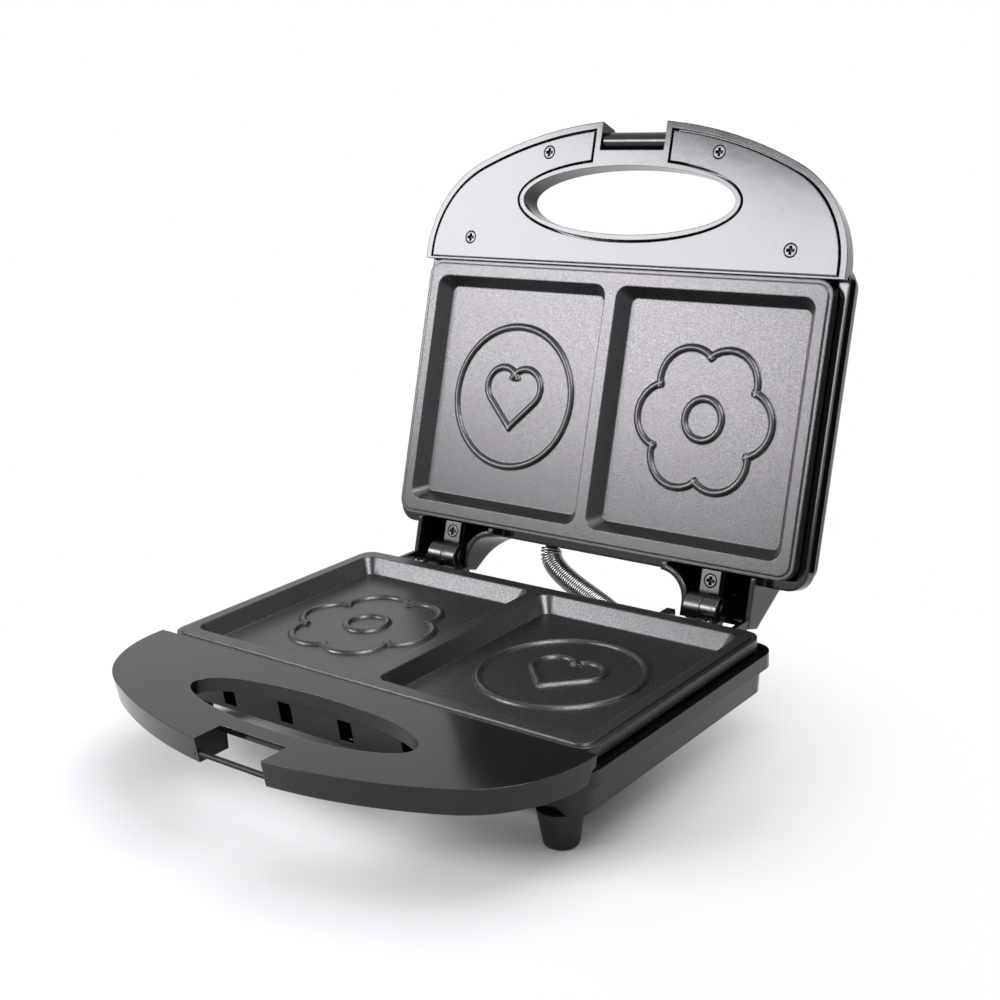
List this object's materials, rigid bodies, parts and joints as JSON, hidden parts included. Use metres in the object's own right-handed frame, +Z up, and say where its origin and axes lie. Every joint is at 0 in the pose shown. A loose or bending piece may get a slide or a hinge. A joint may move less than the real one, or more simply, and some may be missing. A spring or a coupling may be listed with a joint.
{
  "type": "sandwich maker",
  "caption": "Countertop sandwich toaster with a hinged lid, pocketed non-stick plates, D-shaped grips with finger holes, a hook latch and a coiled wire guard at the back.",
  "frame": {"origin": "on the table in the plane of the feet, under the middle of the open machine's length and width", "axes": "+X to the right along the plates, +Y to the rear hinge, +Z up from the table"},
  "size_m": [0.22, 0.2892, 0.2329],
  "materials": {
    "black_shell": "moulded, glossy black",
    "grip_cover": "moulded, glossy black",
    "latch_plastic": "moulded, glossy black",
    "feet": "moulded, satin black",
    "cast_plate": "cast, dark non-stick coating",
    "hinge_steel": "pressed, bright plated",
    "screw_steel": "bright plated",
    "bar_steel": "drawn, bright",
    "guard_steel": "spring wire, bright plated",
    "bush_rubber": "moulded black",
    "lead_jacket": "smooth black jacket",
    "heater_sheath": "drawn tube, heat-tinted",
    "sheet_steel": "pressed sheet",
    "dark_plastic": "moulded",
    "fuse_metal": "drawn can",
    "terminal_plastic": "moulded, off-white",
    "red_lens": "clear red",
    "green_lens": "clear green",
    "bulb_glass": "small sealed lamp"
  },
  "bodies": {
    "base": {"base_housing": "black_shell", "catch_bar": "bar_steel", "lower_plate": "cast_plate", "lower_heating_element": "heater_sheath", "lower_element_straps": "sheet_steel", "lower_reflector": "sheet_steel", "lower_plate_screws": "screw_steel", "thermostat": "dark_plastic", "thermal_fuse": "fuse_metal", "terminal_block": "terminal_plastic", "cord_gland": "bush_rubber", "base_guard_bush": "bush_rubber", "base_hinge_right": "hinge_steel", "base_hinge_left": "hinge_steel", "hinge_pin_right": "hinge_steel", "hinge_pin_left": "hinge_steel", "base_hinge_screws": "screw_steel", "wire_guard": "guard_steel", "lid_lead": "lead_jacket", "foot_front_left": "feet", "foot_front_right": "feet", "foot_rear_left": "feet", "foot_rear_right": "feet"},
    "lid": {"lid_housing": "black_shell", "grip_cover": "grip_cover", "grip_cover_screws": "screw_steel", "upper_plate": "cast_plate", "upper_heating_element": "heater_sheath", "upper_element_straps": "sheet_steel", "upper_reflector": "sheet_steel", "upper_plate_screws": "screw_steel", "lid_hinge_right": "hinge_steel", "lid_hinge_left": "hinge_steel", "lid_hinge_screws": "screw_steel", "lid_guard_bush": "bush_rubber", "power_lamp_lens": "red_lens", "ready_lamp_lens": "green_lens", "lamp_bulbs": "bulb_glass", "latch_pin": "bar_steel"},
    "latch": {"latch_clip": "latch_plastic"}
  },
  "joints": [
    {"name": "lid_hinge", "type": "hinge", "parent": "base", "child": "lid", "pos_m": [0, 0.06128, 0.0366], "axis": [1, 0, 0], "range_deg": [0, 106.8], "deforming": ["wire_guard", "lid_lead"]},
    {"name": "latch_hinge", "type": "hinge", "parent": "lid", "child": "latch", "pos_m": [0, 0.12603, 0.22372], "axis": [1, 0, 0], "range_deg": [0, 156]}
  ]
}
